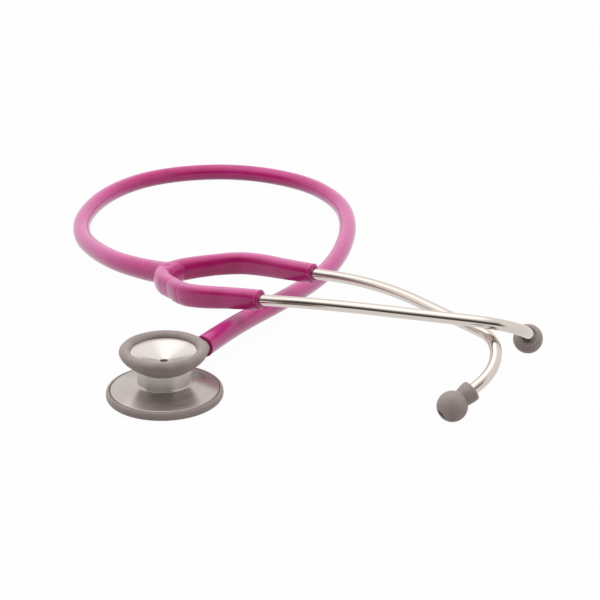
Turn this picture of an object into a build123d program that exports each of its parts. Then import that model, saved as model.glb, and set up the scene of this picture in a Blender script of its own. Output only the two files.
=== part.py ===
from build123d import *
import os
from math import atan, cos, degrees, pi, radians, sin, sqrt, tan

# A single-tube, dual-head stethoscope lying on a table, in millimetres.
# Origin: centre of the diaphragm's face, on the table.  +Z up, +X to the wearer's ear tips,
# +Y away from the chestpiece's open side.  The wearer's face points down in this pose, so
# "left" is the far (+Y) side of the headset and "right" the near side.

os.makedirs("parts", exist_ok=True)

# ---------------------------------------------------------------- driving dimensions
# Fits
seat_gap = 0.05             # between pieces that are pressed or clipped together
turn_gap = 0.05             # radial clearance of a shaft that turns
soft_gap = 0.3              # between a moving soft piece and its neighbour

# Drum and diaphragm
rim_radius = 23.75
rim_height = 3.45
rim_wall = 1.75
rim_lip_width = 2.5         # the lip that hooks under the diaphragm
rim_lip_height = 0.85
rim_groove_width = 0.45      # between the ring's crown and the drum's edge
rim_groove_depth = 0.5
diaphragm_thickness = 0.4
diaphragm_step = 0.9        # the edge stands this much above the face
diaphragm_step_run = 0.7
diaphragm_edge_play = 0.1
drum_edge_height = 2.25
drum_edge_chamfer = 0.25
drum_cone_rise = 3.0
bead_depth = 0.35
bead_height = 0.45
chamber_edge_depth = 0.35
chamber_centre_depth = 0.7

# Neck and bell
neck_radius = 10.9
neck_fillet = 0.8
neck_top_z = 13.2
bell_underside_z = 13.7
bell_edge_radius = 15.2
bell_edge_z = 18.0
bell_edge_height = 1.95
bell_opening_radius = 13.35
bell_hole_z = 16.1
bell_cone_rise = 3.7
sound_hole_radius = 1.5
bell_ring_wall = 2.7         # outside the bell's edge, at the ring's widest
bell_ring_above = 0.25      # the widest place stands this much above the bell's edge
bell_ring_crown = 2.3       # the crest stands this much above the bell's edge
bell_ring_crown_run = 0.9   # and this much outside it
bell_ring_shoulder_run = 0.6    # the shoulder lies this much inside the widest circle
bell_ring_shoulder_rise = 1.4   # and this much above it
bell_ring_foot_wall = 0.1
bell_ring_flank = ((0.45, 0.3), (0.83, 0.65))               # shares out and up from the foot
bell_ring_lip = ((0.58, 0.91), (0.33, 0.76), (0.16, 0.58), (0.02, 0.27))     # from the bell's edge

# Stem, its clip and its click stop
stem_height = 10.0
stem_heading = 62.3         # degrees from +X
stem_radius = 3.0
stem_bore_radius = 1.5
stem_blind_end = 4.5        # the stem runs this far past the head's centre
stem_collar_radius = 3.6
stem_collar_start = 8.4
stem_collar_length = 1.2
clip_thickness = 0.55
clip_width = 1.0
clip_opening = 40.0         # degrees
stem_shoulder_start = 29.0
stem_shoulder_radius = 3.7
tube_start = 30.9           # where the tubing butts against the stem's shoulder
barb_length = 12.5
barb_ridge = 0.3
barb_pitch = 4.0
detent_offset = 6.5         # along the stem from the head's centre
detent_ball_radius = 1.0
detent_groove_depth = 0.5
detent_dimple_depth = 0.2
detent_screw_length = 1.2
detent_socket = 0.7         # hexagon key size
spring_wire = 0.24
spring_coils = 4

# Tubing
tube_radius = 4.15
tube_bore_radius = 2.2

# Headset: a plane through the yoke, tipped and rolled as it leans on the table
yoke_centre = (-4.1, 95.5, 15.55)
headset_heading = -34.0     # degrees from +X
headset_rise_angle = 7.5
headset_roll_angle = 3.2
arm_pitch_angle = 1.65      # each arm is flexed this much out of the headset's plane
arm_pitch_centre = 6.0
yoke_half_height = 4.7
yoke_half_width = 3.6
yoke_web_along = 0.9        # the web between the arms, along the headset from its centre
yoke_web_half_width = 4.5
yoke_corner_along = 2.6
yoke_corner_aside = 5.0
yoke_fork_along = 7.2
yoke_fork_aside = 10.0
yoke_neck_radius = 4.9
knuckle_along = 13.1
knuckle_aside = 14.4
knuckle_heading = 33.0      # degrees outwards
knuckle_radius = 4.7
knuckle_reach = 3.4         # the arm's skin starts this far past the knuckle's centre
arm_shoulder_along = 26.0
arm_shoulder_aside = 20.8
arm_widest_aside = 21.5
arm_half_height = 4.85
arm_half_width = 3.5
arm_end_along = 65.4
arm_end_half_height = 4.2
arm_end_half_width = 3.75
arm_lip_radius = 0.8
lumen_radius = 1.6
lumen_offset = 0.9          # outwards from the arm's middle
spring_offset = 1.9         # inwards from the arm's middle
spring_bend_offset = 2.3    # and from the web's middle
spring_strip_thickness = 0.8
spring_strip_height = 5.5
spring_leg_gap = 4.0        # between the spring's end and the ear tube's

# Ear tubes and tips
ear_tube_aside = 20.0       # the ear tube's axis at the arm's mouth
ear_toe_in_angle = 1.4      # towards the headset's middle
ear_twist_angle = {"left": 25.8, "right": 32.8}     # the hook's plane against the headset's plane
ear_outset = 0.4            # the arm's middle is this far outside the hidden end of the ear tube
ear_tube_radius = 2.4
ear_tube_wall = 0.5
ear_insertion = 18.7
ear_straight_1 = 10.0
ear_bend_1_angle = 16.5
ear_bend_1_radius = 166.0
ear_straight_2 = 36.8
ear_bend_2_angle = 98.9
ear_bend_2_radius = 18.7
ear_straight_3 = 3.6
ear_in_tip = 6.5
tip_ball_radius = 6.2
tip_ball_centre = 10.5
tip_collar_radius = 4.15
tip_collar_round = 0.5   # rounding of the collar's mouth
tip_collar_draft = 0.1   # taper of the collar down to mid waist
tip_waist_flare = 0.15   # the waist opens this much into the ball
tip_waist_radius = 3.75
tip_waist = 4.6
tip_mouth_depth = 1.2
tip_hole_radius = 1.9
tip_hole_chamfer = 0.4
ferrule_wall = 0.6
ferrule_length = 6.0
thread_depth = 0.15
thread_pitch = 1.0

# The tubing's route along the middle of the tube, from the stem to the yoke.  It lies on the
# table except at its ends, where the stem and the yoke hold it up.
route_low = tube_radius
tube_route = [
    (14.36, 27.36, 10.0),
    (25.6, 48.7, 10.0),
    (47.5, 85.5, 7.0),
    (64.5, 120.0, route_low),
    (74.5, 151.0, route_low),
    (79.5, 188.0, route_low),
    (76.0, 225.0, route_low),
    (57.0, 258.5, route_low),
    (18.5, 277.5, route_low),
    (-23.0, 268.5, route_low),
    (-46.5, 240.5, route_low),
    (-55.9, 203.1, route_low),
    (-53.1, 173.0, 4.3),
    (-41.5, 143.0, 7.6),
    (-25.8, 116.8, 11.3),
    (-12.3, 103.7, 13.7),
]
arc_share = 0.45            # an arc starts this far along the shorter of its two runs


def save(part, name):
    part.part.label = name
    export_step(part.part, f"parts/{name}.step")


# ---------------------------------------------------------------- chestpiece
drum_radius = rim_radius - rim_wall
diaphragm_edge_z = diaphragm_step + diaphragm_thickness
drum_base_z = diaphragm_edge_z + seat_gap
drum_top_z = drum_base_z + drum_edge_height
drum_cone_top_z = drum_top_z + drum_cone_rise
rim_inner_radius = drum_radius + seat_gap
rim_slot_radius = rim_inner_radius - rim_lip_height + seat_gap * 4
rim_lip_radius = rim_inner_radius - rim_lip_width
diaphragm_radius = rim_slot_radius - diaphragm_edge_play
diaphragm_inner_step = rim_lip_radius - soft_gap
bead_z = drum_base_z + drum_edge_height / 2
chamber_radius = diaphragm_inner_step - diaphragm_edge_play
bell_top_z = bell_edge_z + bell_edge_height
neck_flare = bell_underside_z - neck_top_z
neck_flare_radius = neck_radius + neck_flare

stem_direction = Vector(cos(radians(stem_heading)), sin(radians(stem_heading)), 0)
stem_centre = Vector(0, 0, stem_height)
stem_axis = Axis(stem_centre, stem_direction)
stem_section = Plane(origin=stem_centre, x_dir=stem_direction, z_dir=stem_direction.cross(Vector(0, 0, 1)))
stem_end_section = Plane(origin=stem_centre, z_dir=stem_direction)
detent_spot = stem_direction * detent_offset

clip_start = stem_collar_start + stem_collar_length + seat_gap
detent_radius = detent_ball_radius + seat_gap
detent_top_z = stem_height - stem_radius + detent_groove_depth - seat_gap
detent_ball_z = detent_top_z - detent_ball_radius
detent_screw_z = drum_base_z + chamber_centre_depth + chamber_edge_depth
spring_bottom_z = detent_screw_z + detent_screw_length + seat_gap
spring_height = detent_ball_z - detent_ball_radius - seat_gap - spring_bottom_z - spring_wire

with BuildPart() as chestpiece_body:
    with BuildSketch(Plane.XZ):
        with BuildLine():
            Polyline(
                (0, detent_screw_z),
                (chamber_radius, drum_base_z + chamber_edge_depth),
                (chamber_radius, drum_base_z),
                (drum_radius, drum_base_z),
                (drum_radius, bead_z - bead_height),
                (drum_radius - bead_depth, bead_z - bead_height / 2),
                (drum_radius - bead_depth, bead_z + bead_height / 2),
                (drum_radius, bead_z + bead_height),
                (drum_radius, drum_top_z - drum_edge_chamfer),
                (drum_radius - drum_edge_chamfer, drum_top_z),
                (neck_radius + neck_fillet, drum_cone_top_z),
            )
            RadiusArc(
                (neck_radius + neck_fillet, drum_cone_top_z),
                (neck_radius, drum_cone_top_z + neck_fillet),
                neck_fillet,
            )
            Polyline(
                (neck_radius, drum_cone_top_z + neck_fillet),
                (neck_radius, neck_top_z),
                (neck_flare_radius, bell_underside_z),
                (bell_edge_radius, bell_edge_z),
                (bell_edge_radius, bell_top_z),
                (bell_opening_radius, bell_top_z),
                (bell_opening_radius, bell_hole_z + bell_cone_rise),
                (sound_hole_radius, bell_hole_z),
                (0, bell_hole_z),
                (0, detent_screw_z),
            )
        make_face()
    revolve(axis=Axis.Z)
    # sound passage from the diaphragm's chamber, past the stem, to the bell
    with BuildSketch(Plane.XY):
        Circle(sound_hole_radius)
    extrude(amount=bell_top_z, mode=Mode.SUBTRACT)
    # blind bore, collar recess and clip groove for the stem
    for radius, start, end in (
        (stem_radius + turn_gap, -stem_blind_end - soft_gap, neck_radius + stem_radius),
        (stem_collar_radius + turn_gap, stem_collar_start - seat_gap, neck_radius + stem_radius),
        (stem_collar_radius + clip_width / 2 + turn_gap, clip_start, clip_start + clip_thickness),
    ):
        with BuildSketch(stem_end_section.offset(start)):
            Circle(radius)
        extrude(amount=end - start, mode=Mode.SUBTRACT)
    # pocket of the click stop, drilled up from the chamber
    with BuildSketch(Plane.XY):
        with Locations(detent_spot):
            Circle(detent_radius)
    extrude(amount=stem_height, mode=Mode.SUBTRACT)
save(chestpiece_body, "chestpiece_body")

with BuildPart() as diaphragm_rim:
    with BuildSketch(Plane.XZ):
        with BuildLine():
            Polyline(
                (rim_inner_radius, rim_height - rim_groove_depth),
                (rim_inner_radius, bead_z + bead_height),
                (rim_inner_radius - bead_depth, bead_z + bead_height / 2),
                (rim_inner_radius - bead_depth, bead_z - bead_height / 2),
                (rim_inner_radius, bead_z - bead_height),
                (rim_inner_radius, drum_base_z - seat_gap),
                (rim_slot_radius, drum_base_z - seat_gap),
                (rim_slot_radius, rim_lip_height),
                (rim_lip_radius, rim_lip_height),
                (rim_lip_radius, 0),
                (rim_inner_radius, 0),
            )
            Spline(
                (rim_inner_radius, 0),
                (rim_radius - rim_wall / 6, rim_height * 0.2),
                (rim_radius, rim_height * 0.5),
                (rim_radius - rim_wall / 6, rim_height * 0.83),
                (rim_inner_radius + rim_groove_width, rim_height),
                tangents=((1, 0), (-1, 0)),
            )
            Line(
                (rim_inner_radius + rim_groove_width, rim_height),
                (rim_inner_radius, rim_height - rim_groove_depth),
            )
        make_face()
    revolve(axis=Axis.Z)
save(diaphragm_rim, "diaphragm_rim")

with BuildPart() as diaphragm:
    with BuildSketch(Plane.XZ):
        with BuildLine():
            Polyline(
                (0, 0),
                (diaphragm_inner_step - diaphragm_step_run, 0),
                (diaphragm_inner_step, diaphragm_step),
                (diaphragm_radius, diaphragm_step),
                (diaphragm_radius, diaphragm_edge_z),
                (diaphragm_inner_step - diaphragm_thickness / 2, diaphragm_edge_z),
                (diaphragm_inner_step - diaphragm_step_run - diaphragm_thickness / 2, diaphragm_thickness),
                (0, diaphragm_thickness),
                close=True,
            )
        make_face()
    revolve(axis=Axis.Z)
save(diaphragm, "diaphragm")

bell_ring_radius = bell_edge_radius + bell_ring_wall
bell_ring_widest_z = bell_top_z + bell_ring_above
bell_ring_crest_radius = bell_edge_radius + bell_ring_crown_run
bell_ring_crest_z = bell_top_z + bell_ring_crown
bell_ring_foot_radius = neck_flare_radius + bell_ring_foot_wall
bell_ring_foot_z = bell_underside_z - seat_gap
bell_ring_lip_run = bell_ring_crest_radius - bell_opening_radius
flank = [
    (bell_ring_foot_radius + out * (bell_ring_radius - bell_ring_foot_radius),
     bell_ring_foot_z + up * (bell_ring_widest_z - bell_ring_foot_z))
    for out, up in bell_ring_flank
]
lip = [
    (bell_opening_radius + out * bell_ring_lip_run, bell_top_z + up * bell_ring_crown)
    for out, up in bell_ring_lip
]
with BuildPart() as bell_rim:
    with BuildSketch(Plane.XZ):
        with BuildLine():
            Spline(
                (bell_ring_foot_radius, bell_ring_foot_z),
                *flank,
                (bell_ring_radius, bell_ring_widest_z),
                (bell_ring_radius - bell_ring_shoulder_run, bell_ring_widest_z + bell_ring_shoulder_rise),
                (bell_ring_crest_radius, bell_ring_crest_z),
                *lip,
            )
            Polyline(
                lip[-1],
                (bell_opening_radius, bell_top_z + seat_gap),
                (bell_edge_radius + seat_gap, bell_top_z + seat_gap),
                (bell_edge_radius + seat_gap, bell_edge_z - seat_gap),
                (neck_flare_radius + seat_gap, bell_ring_foot_z),
                (bell_ring_foot_radius, bell_ring_foot_z),
            )
        make_face()
    revolve(axis=Axis.Z)
save(bell_rim, "bell_rim")

barb_radius = tube_bore_radius - seat_gap
with BuildPart() as stem:
    with BuildSketch(stem_section):
        with BuildLine():
            Polyline(
                (-stem_blind_end, 0),
                (-stem_blind_end, stem_radius),
                (detent_offset - detent_radius, stem_radius),
                (detent_offset - detent_radius, stem_radius - detent_groove_depth),
                (detent_offset + detent_radius, stem_radius - detent_groove_depth),
                (detent_offset + detent_radius, stem_radius),
                (stem_collar_start, stem_radius),
                (stem_collar_start, stem_collar_radius),
                (stem_collar_start + stem_collar_length, stem_collar_radius),
                (stem_collar_start + stem_collar_length, stem_radius),
                (stem_shoulder_start, stem_radius),
                (stem_shoulder_start, stem_shoulder_radius),
                (tube_start, stem_shoulder_radius),
                (tube_start, barb_radius),
                (tube_start + barb_length, barb_radius),
                (tube_start + barb_length, 0),
                close=True,
            )
        make_face()
        # saw-tooth ridges that grip the tubing
        with BuildLine():
            for ridge in (1, 2):
                foot = tube_start + barb_length - ridge * barb_pitch
                Polyline(
                    (foot, barb_radius),
                    (foot, barb_radius + barb_ridge),
                    (foot + barb_pitch * 0.6, barb_radius),
                    close=True,
                )
        make_face()
    revolve(axis=stem_axis)
    # sound channel, and the port that faces the diaphragm's chamber
    with BuildSketch(stem_end_section.offset(-stem_bore_radius)):
        Circle(stem_bore_radius)
    extrude(amount=tube_start + barb_length + stem_bore_radius, mode=Mode.SUBTRACT)
    with BuildSketch(Plane.XY.offset(stem_height)):
        Circle(stem_bore_radius)
    extrude(amount=-stem_height, mode=Mode.SUBTRACT)
    # dimples under the click stop, one for the bell and one for the diaphragm
    for turn in (-1, 1):
        dimple_z = stem_height + turn * (stem_radius - detent_groove_depth - detent_dimple_depth)
        with Locations((detent_spot.X, detent_spot.Y, dimple_z + turn * detent_ball_radius)):
            Sphere(detent_ball_radius, mode=Mode.SUBTRACT)
save(stem, "stem")

with BuildPart() as stem_clip:
    with BuildSketch(stem_end_section.offset(clip_start + seat_gap)):
        Circle(stem_radius + turn_gap * 2 + clip_width)
        Circle(stem_radius + turn_gap * 2, mode=Mode.SUBTRACT)
        with BuildLine():
            reach = 2 * stem_collar_radius
            Polyline(
                (0, 0),
                (reach, reach * tan(radians(clip_opening / 2))),
                (reach, -reach * tan(radians(clip_opening / 2))),
                close=True,
            )
        make_face(mode=Mode.SUBTRACT)
    extrude(amount=clip_thickness - 2 * seat_gap)
save(stem_clip, "stem_clip")

with BuildPart() as detent_ball:
    with Locations((detent_spot.X, detent_spot.Y, detent_ball_z)):
        Sphere(detent_ball_radius)
save(detent_ball, "detent_ball")

spring_centre_radius = detent_radius - seat_gap - spring_wire / 2
spring_start_z = spring_bottom_z + spring_wire / 2
with BuildPart() as detent_spring:
    spring_foot = (detent_spot.X, detent_spot.Y, spring_start_z)
    with BuildLine(Plane.XY.offset(spring_start_z).shift_origin(spring_foot)):
        coil = Helix(pitch=spring_height / spring_coils, height=spring_height, radius=spring_centre_radius)
    with BuildSketch(Plane(origin=coil @ 0, z_dir=coil % 0)):
        Circle(spring_wire / 2)
    sweep(path=coil)
save(detent_spring, "detent_spring")

with BuildPart() as detent_screw:
    with BuildSketch(Plane.XY.offset(detent_screw_z)):
        with Locations(detent_spot):
            Circle(detent_ball_radius)
            RegularPolygon(radius=detent_socket / 2, side_count=6, major_radius=False, mode=Mode.SUBTRACT)
    extrude(amount=detent_screw_length / 2)
    with BuildSketch(Plane.XY.offset(detent_screw_z + detent_screw_length / 2)):
        with Locations(detent_spot):
            Circle(detent_ball_radius)
    extrude(amount=detent_screw_length / 2)
save(detent_screw, "detent_screw")

# ---------------------------------------------------------------- tubing
points = [Vector(*p) for p in tube_route]
runs = [b - a for a, b in zip(points, points[1:])]
arc_radii = [
    arc_share * min(before.length, after.length) / tan(radians(before.get_angle(after) / 2))
    for before, after in zip(runs, runs[1:])
]
print("tubing arc radii", [round(r) for r in arc_radii])

with BuildPart() as tubing:
    with BuildLine():
        route = FilletPolyline(*points, radius=arc_radii)
    with BuildSketch(Plane(origin=route @ 0, z_dir=route % 0)):
        Circle(tube_radius)
        Circle(tube_bore_radius, mode=Mode.SUBTRACT)
    sweep(path=route)
save(tubing, "tubing")
tube_section_area = pi * (tube_radius**2 - tube_bore_radius**2)
print("tubing length", round(route.length, 1))
tubing_share = tubing.part.volume / (tube_section_area * route.length)
print("tubing volume over section times length", round(tubing_share, 4))

# ---------------------------------------------------------------- headset planes
origin_axis = (0, 0, 0)
headset_axis = Vector(1, 0, 0).rotate(Axis.Y, -headset_rise_angle).rotate(Axis.Z, headset_heading)
level_side = Vector(0, 1, 0).rotate(Axis.Z, headset_heading)
headset_normal = headset_axis.cross(level_side).rotate(Axis(origin_axis, headset_axis), headset_roll_angle)
headset = Plane(origin=yoke_centre, x_dir=headset_axis, z_dir=headset_normal)
sides = {"left": 1, "right": -1}


def side_plane(name):
    """The headset's plane, pitched about its cross axis: the right arm rides over the left."""
    cross_axis = Axis(origin_axis, headset.y_dir)
    pitch = sides[name] * arm_pitch_angle
    x_dir = headset.x_dir.rotate(cross_axis, pitch)
    z_dir = headset.z_dir.rotate(cross_axis, pitch)
    pivot = headset.from_local_coords(Vector(arm_pitch_centre, 0, 0))
    return Plane(origin=pivot - x_dir * arm_pitch_centre, x_dir=x_dir, z_dir=z_dir)


def station(name, along, aside, heading, outwards=0.0):
    """A cross-section plane on one side of the headset: local x up, local y across the arm."""
    plane = side_plane(name)
    side = sides[name]
    turn = radians(heading)
    local = Vector(along - outwards * sin(turn), side * (aside + outwards * cos(turn)), 0)
    forward = plane.x_dir * cos(turn) + plane.y_dir * (side * sin(turn))
    return Plane(origin=plane.from_local_coords(local), x_dir=plane.z_dir, z_dir=forward)


# Stations along one side's middle line: along, aside, heading in degrees, half height, half width
yoke_stations = [
    (yoke_web_along, 0.0, 90.0, yoke_half_height, yoke_web_half_width),
    (yoke_corner_along, yoke_corner_aside, 56.0, yoke_half_height, yoke_half_width),
    (yoke_fork_along, yoke_fork_aside, 41.0, yoke_half_height, yoke_half_width),
    (knuckle_along, knuckle_aside, knuckle_heading, yoke_half_height, yoke_half_width),
]
tube_heading = -ear_toe_in_angle
tube_end_along = arm_end_along - ear_insertion
tube_end_aside = ear_tube_aside + ear_insertion * tan(radians(ear_toe_in_angle))
arm_start_along = knuckle_along + knuckle_reach * cos(radians(knuckle_heading))
arm_start_aside = knuckle_aside + knuckle_reach * sin(radians(knuckle_heading))
arm_waist_half_height = (arm_half_height + arm_end_half_height) / 2
arm_stations = [
    (arm_start_along, arm_start_aside, 30.0, arm_half_height, arm_half_width),
    (arm_shoulder_along, arm_shoulder_aside, 11.0, arm_half_height, arm_half_width),
    ((arm_shoulder_along + tube_end_along) / 2, arm_widest_aside, -2.0, arm_half_height, arm_half_width),
    (tube_end_along, tube_end_aside + ear_outset, -4.0, arm_waist_half_height, arm_half_width),
    (arm_end_along, ear_tube_aside, tube_heading, arm_end_half_height, arm_end_half_width),
]


# ---------------------------------------------------------------- leaf spring
spring_leg_end = (
    tube_end_along - spring_leg_gap,
    (arm_stations[2][1] + arm_stations[3][1]) / 2,
    *arm_stations[3][2:],
)
spring_middle_line = yoke_stations[1:] + arm_stations[1:3] + [spring_leg_end]


def spring_edge(shift):
    """Points along the strip, moved inwards from its middle line by shift, from left to right."""
    leg = []
    for along, aside, heading, _, _ in spring_middle_line:
        turn = radians(heading)
        inwards = spring_offset + shift
        leg.append((along + inwards * sin(turn), aside - inwards * cos(turn)))
    bend = (yoke_web_along + spring_bend_offset + shift, 0)
    return [*reversed(leg), bend, *((along, -aside) for along, aside in leg)]


def spring_strip(thickness, height):
    with BuildPart() as strip:
        with BuildSketch(headset):
            with BuildLine():
                outer = Spline(*spring_edge(-thickness / 2))
                inner = Spline(*spring_edge(thickness / 2))
                Line(outer @ 0, inner @ 0)
                Line(outer @ 1, inner @ 1)
            make_face()
        extrude(amount=height / 2, both=True)
    return strip


leaf_spring = spring_strip(spring_strip_thickness, spring_strip_height)
spring_slot = spring_strip(spring_strip_thickness + 4 * seat_gap, spring_strip_height + 6 * seat_gap)
save(leaf_spring, "leaf_spring")

# ---------------------------------------------------------------- yoke
spigot_axis = (points[-1] - points[-2]).normalized()
yoke_middle = headset.from_local_coords(Vector(0, 0, 0))
with BuildPart() as yoke_junction:
    for name in sides:
        for along, aside, heading, half_height, half_width in yoke_stations:
            with BuildSketch(station(name, along, aside, heading)):
                Ellipse(half_height, half_width)
        loft()
        knuckle = Vector(knuckle_along, sides[name] * knuckle_aside, 0)
        with Locations(side_plane(name).from_local_coords(knuckle)):
            Sphere(knuckle_radius)
    with BuildSketch(Plane(origin=points[-1], z_dir=spigot_axis)):
        Circle(tube_radius)
    with BuildSketch(Plane(origin=yoke_middle, z_dir=headset.x_dir)):
        Circle(yoke_neck_radius)
    loft()
    with BuildSketch(Plane(origin=points[-1], z_dir=spigot_axis)):
        Circle(tube_bore_radius)
    with BuildSketch(Plane(origin=yoke_middle, z_dir=headset.x_dir)):
        Circle(lumen_radius)
    loft(mode=Mode.SUBTRACT)
    for name in sides:
        for along, aside, heading, _, _ in yoke_stations:
            with BuildSketch(station(name, along, aside, heading, lumen_offset if aside else 0)):
                Circle(lumen_radius)
        loft(mode=Mode.SUBTRACT)
        # open the sound channel through the round end of the knuckle
        with BuildSketch(station(name, *yoke_stations[-1][:3], lumen_offset)):
            Circle(lumen_radius)
        extrude(amount=knuckle_radius, mode=Mode.SUBTRACT)
    add(spring_slot.part, mode=Mode.SUBTRACT)
save(yoke_junction, "yoke_junction")


def make_yoke_arm(name):
    with BuildPart() as arm:
        for along, aside, heading, half_height, half_width in arm_stations:
            with BuildSketch(station(name, along, aside, heading)):
                Ellipse(half_height, half_width)
        loft()
        mouth = arm.faces().sort_by(Axis(origin_axis, headset.x_dir))[-1]
        fillet(mouth.edges(), arm_lip_radius)
        # socket round the knuckle
        knuckle = Vector(knuckle_along, sides[name] * knuckle_aside, 0)
        with Locations(side_plane(name).from_local_coords(knuckle)):
            Sphere(knuckle_radius + soft_gap, mode=Mode.SUBTRACT)
        # sound channel up to the ear tube
        for along, aside, heading, _, _ in arm_stations[:3]:
            with BuildSketch(station(name, along, aside, heading, lumen_offset)):
                Circle(lumen_radius)
        with BuildSketch(station(name, tube_end_along, tube_end_aside, tube_heading)):
            Circle(lumen_radius)
        loft(mode=Mode.SUBTRACT)
        # hole for the ear tube
        with BuildSketch(station(name, arm_end_along, ear_tube_aside, tube_heading)):
            Circle(ear_tube_radius + turn_gap)
        extrude(amount=-ear_insertion - soft_gap, mode=Mode.SUBTRACT)
        add(spring_slot.part, mode=Mode.SUBTRACT)
    return arm


# ---------------------------------------------------------------- ear tubes and tips
def tube_plane(name):
    """At the ear tube's seat: local x along the tube, local y towards the hook's inside."""
    plane = side_plane(name)
    side = sides[name]
    toe_in = radians(ear_toe_in_angle)
    twist = radians(ear_twist_angle[name])
    seat = plane.from_local_coords(Vector(arm_end_along, side * ear_tube_aside, 0))
    along = plane.x_dir * cos(toe_in) - plane.y_dir * (side * sin(toe_in))
    inwards = plane.x_dir * -sin(toe_in) - plane.y_dir * (side * cos(toe_in))
    hook = inwards * cos(twist) - plane.z_dir * sin(twist)
    return Plane(origin=seat, x_dir=along, z_dir=along.cross(hook))


def tube_line(name):
    with BuildLine(tube_plane(name)) as line:
        seat_run = Line((-ear_insertion, 0), (ear_straight_1, 0))
        bend_1 = JernArc(seat_run @ 1, seat_run % 1, ear_bend_1_radius, ear_bend_1_angle)
        middle_run = Line(bend_1 @ 1, bend_1 @ 1 + (bend_1 % 1) * ear_straight_2)
        bend_2 = JernArc(middle_run @ 1, middle_run % 1, ear_bend_2_radius, ear_bend_2_angle)
        Line(bend_2 @ 1, bend_2 @ 1 + (bend_2 % 1) * (ear_straight_3 + ear_in_tip))
    return line


def make_ear_tube(name):
    path = tube_line(name).line
    with BuildPart() as tube:
        with BuildSketch(Plane(origin=path @ 0, z_dir=path % 0)):
            Circle(ear_tube_radius)
            Circle(ear_tube_radius - ear_tube_wall, mode=Mode.SUBTRACT)
        sweep(path=path)
    return tube


def tip_plane(name):
    """At the mouth of the ear tip: local x along the tip's axis, towards the ear."""
    path = tube_line(name).line
    axis = path % 1
    mouth = path @ 1 - axis * ear_in_tip
    return Plane(origin=mouth, x_dir=axis, z_dir=side_plane(name).z_dir.cross(axis))


def make_tip_ferrule(name):
    inner = ear_tube_radius + seat_gap / 2
    outer = inner + ferrule_wall
    plane = tip_plane(name)
    with BuildPart() as ferrule:
        with BuildSketch(plane):
            with BuildLine():
                outline = [(tip_mouth_depth, inner), (tip_mouth_depth, outer)]
                for turn in range(int(ferrule_length / thread_pitch) - 1):
                    crest = tip_mouth_depth + (turn + 0.5) * thread_pitch
                    outline += [(crest, outer), (crest + thread_pitch / 2, outer - thread_depth)]
                ferrule_end = tip_mouth_depth + ferrule_length
                outline += [(ferrule_end, outer), (ferrule_end, inner)]
                Polyline(*outline, close=True)
            make_face()
        revolve(axis=Axis(plane.origin, plane.x_dir))
    return ferrule


def make_ear_tip(name):
    plane = tip_plane(name)
    thread_radius = ear_tube_radius + seat_gap / 2 + ferrule_wall + turn_gap
    pocket_end = tip_mouth_depth + ferrule_length + soft_gap
    ball_start = tip_ball_centre - sqrt(tip_ball_radius**2 - (tip_waist_radius + tip_waist_flare) ** 2)
    ball_end = tip_ball_centre + sqrt(tip_ball_radius**2 - (tip_hole_radius + tip_hole_chamfer) ** 2)
    with BuildPart() as tip:
        with BuildSketch(plane):
            with BuildLine():
                Spline(
                    (0.0, tip_collar_radius - tip_collar_round),
                    (tip_collar_round, tip_collar_radius),
                    (tip_waist * 0.5, tip_collar_radius - tip_collar_draft),
                    (tip_waist, tip_waist_radius),
                    (ball_start, tip_waist_radius + tip_waist_flare),
                )
                ThreePointArc(
                    (ball_start, tip_waist_radius + tip_waist_flare),
                    (tip_ball_centre, tip_ball_radius),
                    (ball_end, tip_hole_radius + tip_hole_chamfer),
                )
                Polyline(
                    (ball_end, tip_hole_radius + tip_hole_chamfer),
                    (ball_end - tip_hole_chamfer, tip_hole_radius),
                    (pocket_end, tip_hole_radius),
                    (pocket_end, thread_radius),
                    (0.0, thread_radius),
                    (0.0, tip_collar_radius - tip_collar_round),
                )
            make_face()
        revolve(axis=Axis(plane.origin, plane.x_dir))
    return tip


for name in sides:
    save(make_yoke_arm(name), f"{name}_yoke_arm")
    save(make_ear_tube(name), f"{name}_ear_tube")
    save(make_tip_ferrule(name), f"{name}_tip_ferrule")
    save(make_ear_tip(name), f"{name}_ear_tip")
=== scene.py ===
# %% [markdown]
# # A stethoscope on a table
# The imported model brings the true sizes, the joints and the hidden pieces. Each visible surface is
# made again here as a smooth surface worked out with numpy, in metres, in the same frame: the middle
# of the diaphragm's face is the origin, +Z is up and +X runs towards the ear tips.

# %% Load the frame
from math import cos, pi, radians, sin

import bpy
import numpy as np
from mathutils import Matrix


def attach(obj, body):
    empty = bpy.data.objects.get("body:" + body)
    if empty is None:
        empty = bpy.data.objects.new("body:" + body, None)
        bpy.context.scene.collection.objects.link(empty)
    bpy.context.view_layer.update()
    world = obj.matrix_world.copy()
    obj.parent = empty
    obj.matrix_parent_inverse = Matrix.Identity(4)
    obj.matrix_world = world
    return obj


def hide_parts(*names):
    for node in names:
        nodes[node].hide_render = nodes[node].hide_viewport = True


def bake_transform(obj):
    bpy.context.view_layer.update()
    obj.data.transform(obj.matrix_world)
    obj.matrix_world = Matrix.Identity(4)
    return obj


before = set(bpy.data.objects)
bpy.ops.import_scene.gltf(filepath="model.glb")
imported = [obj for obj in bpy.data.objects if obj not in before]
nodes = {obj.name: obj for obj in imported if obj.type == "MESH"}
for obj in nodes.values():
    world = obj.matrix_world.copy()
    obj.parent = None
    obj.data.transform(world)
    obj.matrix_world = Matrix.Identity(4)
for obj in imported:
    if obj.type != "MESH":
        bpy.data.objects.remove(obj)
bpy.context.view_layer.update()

MM = 0.001
UP = (0.0, 0.0, 1.0)
print("CAD nodes", sorted(nodes))

# %% [markdown]
# ## Camera
# The instrument is seen from the front and a little above with a long lens, which keeps circles
# nearly true ellipses. The camera is set first because the tubing has to lie inside its view.

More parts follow.
